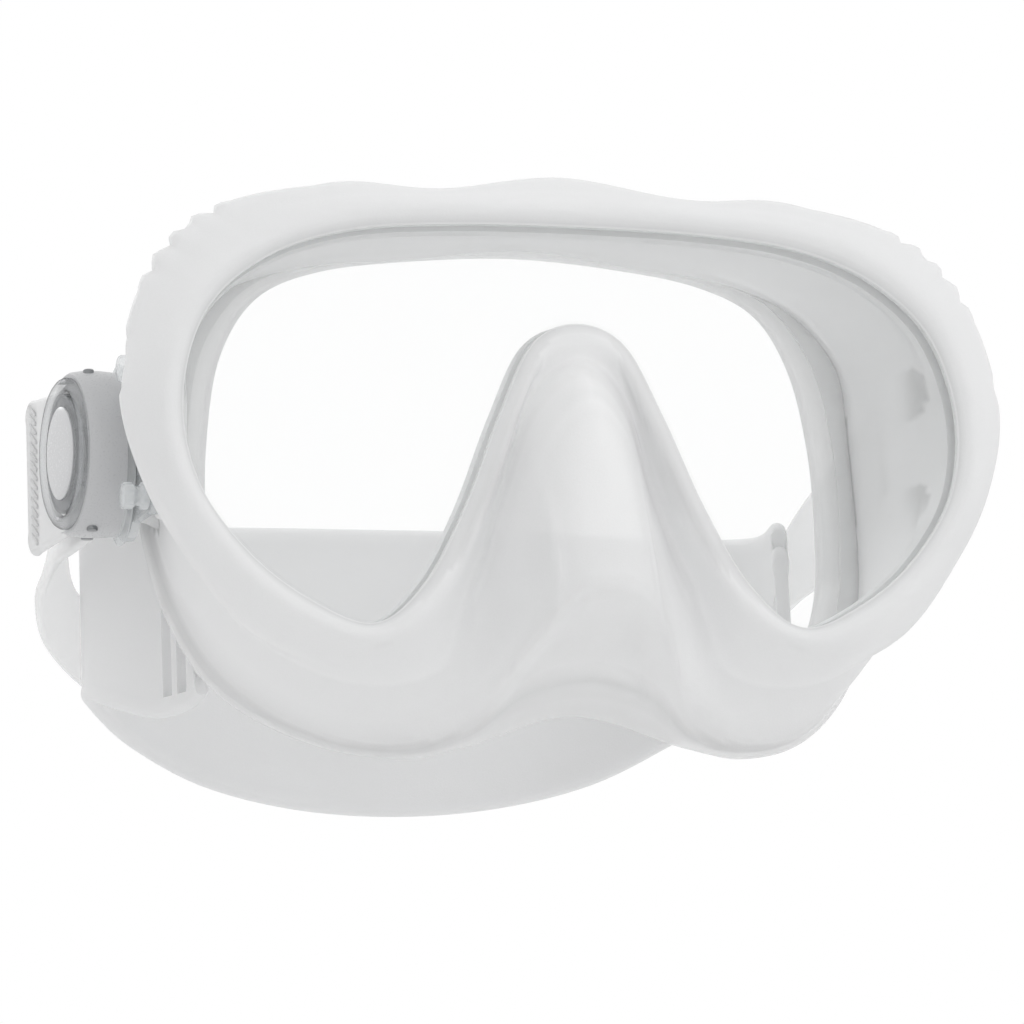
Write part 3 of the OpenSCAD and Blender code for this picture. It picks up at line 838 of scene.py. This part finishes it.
bm = bmesh.new()
band(bm, pad_path, PAD_T, 0.35, 6, round_start=3, round_stop=3)
pad = finish_piece("strap_pad", bm, strap_finish, "harness", sharp=60)
slots = bmesh.new()
for side in (-1, 1):
    for shift in (-2.45, 2.45):
        box = bmesh.ops.create_cube(slots, size=1)["verts"]
        bmesh.ops.scale(slots, vec=Vector((20, 3.1, 20)) * MM, verts=box)
        bmesh.ops.translate(slots, vec=Vector((0, shift, 0)) * MM, verts=box)
        bmesh.ops.rotate(slots, verts=box, matrix=Matrix.Rotation(math.radians(-18 * side), 3, "Z"))
        bmesh.ops.translate(slots, vec=Vector((61.3 * side, 19.6, -33)) * MM, verts=box)
cut(pad, slots)
pad.data.set_sharp_from_angle(angle=math.radians(60))
thickness_of(pad, 3 * MM)
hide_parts("strap")
print("pad after its slots:", len(pad.data.polygons), "faces")

# %% [markdown]
# ## The buckles
# A buckle is a stack of ovals on the swivel post: a clear base with a thin flange, a white oval
# wall that is open at the back for the strap, and a clear crowned ring over the wall. The ring's
# window holds the release lever, a clear dish with a grey badge. Each oval piece is one profile,
# given as share of the way from the outer to the inner oval, and height. The ring and the
# lever lean a little towards the front.

# %% Ovals
OVAL_STEPS = 96
TILT = math.radians(10)
base_x = pod_low.x / MM - lug_face
base_top = pod_high.x / MM - lug_face
ring_under = roller_x + wrap_r - lug_face + STRAP_T / 2 + 0.2
ring_pivot = roller_y - wrap_r - STRAP_T / 2 - post_y


def at_buckle(side, x, y, z):
    return Vector((side * (lug_face + x), post_y + y, post_z + z)) * MM


def leaning(side, x, y, z):
    """A point in the leaning face's own frame, x above the ring's underside."""
    far = y - ring_pivot
    return at_buckle(side, ring_under + x * math.cos(TILT) + far * math.sin(TILT),
                     ring_pivot - x * math.sin(TILT) + far * math.cos(TILT), z)


def oval_row(frame_of, side, a, b, height):
    turns = (2 * math.pi * k / OVAL_STEPS for k in range(OVAL_STEPS))
    return [frame_of(side, height, a * math.cos(t), b * math.sin(t)) for t in turns]


def oval_piece(bm, frame_of, side, outer, inner_oval, profile, solid):
    """Lofts a profile of (share, height) between two ovals; solid fills its ends."""
    rows = []
    for share, height in profile:
        a = outer[0] + (inner_oval[0] - outer[0]) * share
        b = outer[1] + (inner_oval[1] - outer[1]) * share
        rows.append(oval_row(frame_of, side, a, b, height))
    loft(bm, rows if solid else rows + rows[:1], caps=solid)


# %% Ring, lever and badge
RING_OUTER, RING_INNER = (pod_a - 0.6, pod_b - 1.2), (8.5, pod_b - 3.6)
LEVER, BADGE = (7.9, pod_b - 4.5), (6.2, pod_b - 6.6)
RING_PROFILE = [(0, 0.02), (0, 0.7), (0.12, 1.25), (0.32, 1.62), (0.55, 1.7), (0.8, 1.5),
                (0.96, 1.1), (1, 0.7), (1, 0.02)]
LEVER_PROFILE = [(0, 0.02), (0, 0.95), (0.08, 1.25), (0.3, 1.32), (0.55, 1.2), (0.9, 1.02)]
BADGE_PROFILE = [(0, 1.0), (0, 1.5), (0.06, 1.72), (0.16, 1.84), (0.55, 1.96), (0.9, 2.0)]

for side, label in ((-1, "left"), (1, "right")):
    bm = bmesh.new()
    oval_piece(bm, leaning, side, RING_OUTER, RING_INNER, RING_PROFILE, False)
    ring = finish_piece(f"{label}_clear_ring", bm, clear_plastic, "harness")
    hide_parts(f"{label}_buckle_ring")
    bm = bmesh.new()
    oval_piece(bm, leaning, side, LEVER, (0, 0), LEVER_PROFILE, True)
    finish_piece(f"{label}_lever_dish", bm, clear_plastic, f"{label}_lever")
    bm = bmesh.new()
    oval_piece(bm, leaning, side, BADGE, (0, 0), BADGE_PROFILE, True)
    badge = finish_piece(f"{label}_oval_badge", bm, badge_finish, f"{label}_lever")
    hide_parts(f"{label}_badge")

# %% Case wall and base
BASE_PROFILE = [(0, 0.0), (-0.117, 0.12), (-0.13, 0.5), (-0.04, 0.75), (0, 0.9), (0, 1.38),
                (0.98, 1.38), (1, 1.28), (1, 0.1), (0.98, 0.0)]
CASE_WALL = 1.5
RUN_GAP = 0.3               # between the strap or the roller and the parts beside them
BORE = (post_high.z - post_low.z) / 2 / MM + 0.06


def case_wall(bm, side):
    """The oval wall, from one side of the strap's way in, round the front, to the other."""
    gate = math.asin((strap_h + RUN_GAP) / pod_b)
    turns = [gate + (2 * math.pi - 2 * gate) * k / 80 for k in range(81)]
    room = strap_h + RUN_GAP
    room_from = roller_y - wrap_r - STRAP_T - post_y

    def row(share, inset, drop):
        made = []
        for t in turns:
            y, z = (pod_a - inset) * math.cos(t), (pod_b - inset) * math.sin(t)
            if y > room_from:
                z = math.copysign(max(abs(z), room), z)
            roof = ring_under + (y - ring_pivot) * math.tan(TILT)
            made.append(at_buckle(side, base_top + (roof - drop - base_top) * share, y, z))
        return made

    rows = [row(0, 0, 0), row(0.35, -0.25, 0), row(0.7, -0.2, 0), row(1, 0.15, 0.5), row(1, 0.5, 0.05),
            row(1, CASE_WALL, 0.05), row(0, CASE_WALL, 0)]
    loft(bm, rows + rows[:1], closed=False)
    bmesh.ops.remove_doubles(bm, verts=bm.verts, dist=0.002 * MM)
    ends = [e for e in bm.edges if e.is_boundary]
    bmesh.ops.edgeloop_fill(bm, edges=ends)


for side, label in ((-1, "left"), (1, "right")):
    bm = bmesh.new()
    case_wall(bm, side)
    case = finish_piece(f"{label}_case_wall", bm, white_plastic_painted_shade, "harness")
    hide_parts(f"{label}_buckle_body")
    bm = bmesh.new()
    profile = [(s, base_x + h) for s, h in BASE_PROFILE]
    oval_piece(bm, at_buckle, side, (pod_a, pod_b), (BORE, BORE), profile, False)
    base = finish_piece(f"{label}_clear_base", bm, bracket_plastic, "harness")
    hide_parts(f"{label}_buckle_base")

# %% [markdown]
# ## Pin heads
# The roller's axle and the lever's pin are steel, and their riveted heads show as two dark bars
# at each end of the case. A head is a short cylinder with a bevelled rim.

# %% Heads
PIN_PLACES = (((roller_x - lug_face), roller_y - post_y, 1.15), (base_top + 5.2, -3.6, 1.0))


def head(bm, side, x, y, radius, end):
    """One riveted head on the upper or lower end of the case."""
    wall_z = pod_b * math.sqrt(1 - (y / pod_a) ** 2)
    verts = bmesh.ops.create_cone(bm, cap_ends=True, segments=32, radius1=radius * MM,
                                  radius2=radius * MM, depth=1.5 * MM)["verts"]
    rims = [e for v in verts for e in v.link_edges if abs(e.verts[0].co.z - e.verts[1].co.z) < 1e-9]
    bevelled = bmesh.ops.bevel(bm, geom=list(set(rims)), offset=0.25 * MM, affect="EDGES", segments=3,
                               profile=0.5, material=-1)["verts"]
    verts = {v for v in verts if v.is_valid} | set(bevelled)
    bmesh.ops.translate(bm, verts=list(verts), vec=at_buckle(side, x, y, end * (wall_z - 0.1)))


for side, label in ((-1, "left"), (1, "right")):
    bm = bmesh.new()
    for x, y, radius in PIN_PLACES:
        for end in (-1, 1):
            head(bm, side, x, y, radius, end)
    finish_piece(f"{label}_pin_heads", bm, steel, "harness")

# %% [markdown]
# ## Fluted studs
# Two clear studs hold each bracket to its plate inside the silicone. Their heads are fluted, so
# that fingers or pliers can press them in. A stud is a circle with a waved radius, extruded
# along its axis.

# %% Studs
FLUTES = 9
stud_top = stud_high.x / MM - lug_face
stud_foot = stud_low.x / MM - lug_face
STUD_STEPS = 72
# Each row is a place along the stud, its radius, and how deep the flutes are as a share of it
STUD_PROFILE = ((stud_foot, 1.5, 0), (1.6, 1.5, 0), (1.62, 2.2, 0.0), (1.85, 2.5, 0.04),
                (2.2, 2.6, 0.1), (3.0, 2.55, 0.1), (3.4, 1.9, 0.05), (3.9, 1.75, 0),
                (4.3, 2.1, 0.05), (4.7, 2.5, 0.1), (stud_top - 0.6, 2.5, 0.1),
                (stud_top - 0.15, 2.2, 0.06), (stud_top, 1.6, 0))


def stud(bm, side, z):
    rows = []
    for x, r, flute in STUD_PROFILE:
        row = []
        for k in range(STUD_STEPS):
            t = 2 * math.pi * k / STUD_STEPS
            reach = r * (1 - flute * (1 + math.cos(FLUTES * t)) / 2)
            row.append(at_buckle(side, x, stud_y + reach * math.cos(t), z + reach * math.sin(t)))
        rows.append(row)
    loft(bm, rows, caps=True)


for side, label in ((-1, "left"), (1, "right")):
    bm = bmesh.new()
    for end in (-1, 1):
        stud(bm, side, end * stud_z)
    studs = finish_piece(f"{label}_fluted_studs", bm, bracket_plastic, "mask")
    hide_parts(f"{label}_anchor_studs")

# %% [markdown]
# ## Finishes on the CAD parts
# The brackets, pins, rollers and springs keep their CAD shape, which is what makes them fit.
# They only need their finish, and an edge: a real part is never perfectly sharp, so its loose
# triangles are welded and its edges get a narrow bevel that catches the light.

# %% CAD parts
CAD_FINISH = {"lug_plate": bracket_plastic, "anchor_bracket": bracket_plastic, "swivel_post": steel,
              "post_clip": steel, "roller": white_plastic_painted_shade, "roller_axle": steel, "lever_pin": steel,
              "lever_springs": steel, "release_lever": clear_plastic}
EDGE_WIDTH = 0.12 * MM
for label in ("left", "right"):
    for part_name, finish in CAD_FINISH.items():
        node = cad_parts[f"{label}_{part_name}"]
        node.data.materials.clear()
        node.data.materials.append(finish)
        weld = node.modifiers.new("weld", "WELD")
        weld.merge_threshold = 0.001 * MM
        edge = node.modifiers.new("edge", "BEVEL")
        edge.width = EDGE_WIDTH
        edge.segments = 2
        edge.limit_method = "ANGLE"
        edge.angle_limit = math.radians(50)
print("finished CAD parts on both sides:", 2 * len(CAD_FINISH))

# %% [markdown]
# ## Floor
# The floor is a plain pale sheet, well below the mask. It isn't part of the object.

# %% Floor
bm = bmesh.new()
bmesh.ops.create_grid(bm, x_segments=1, y_segments=1, size=4)
bmesh.ops.translate(bm, vec=(0, 0, -0.3), verts=bm.verts)
floor_mesh = bpy.data.meshes.new("floor")
bm.to_mesh(floor_mesh)
bm.free()
floor = bpy.data.objects.new("floor", floor_mesh)
floor_paint = Paint("pale floor", roughness=0.8)
floor_cloud = floor_paint.noise(3)
floor_paint.link("Base Color", floor_paint.mix(floor_cloud, (0.86, 0.86, 0.86, 1), (0.84, 0.84, 0.84, 1)))
floor_mesh.materials.append(floor_paint.material)
bpy.context.scene.collection.objects.link(floor)
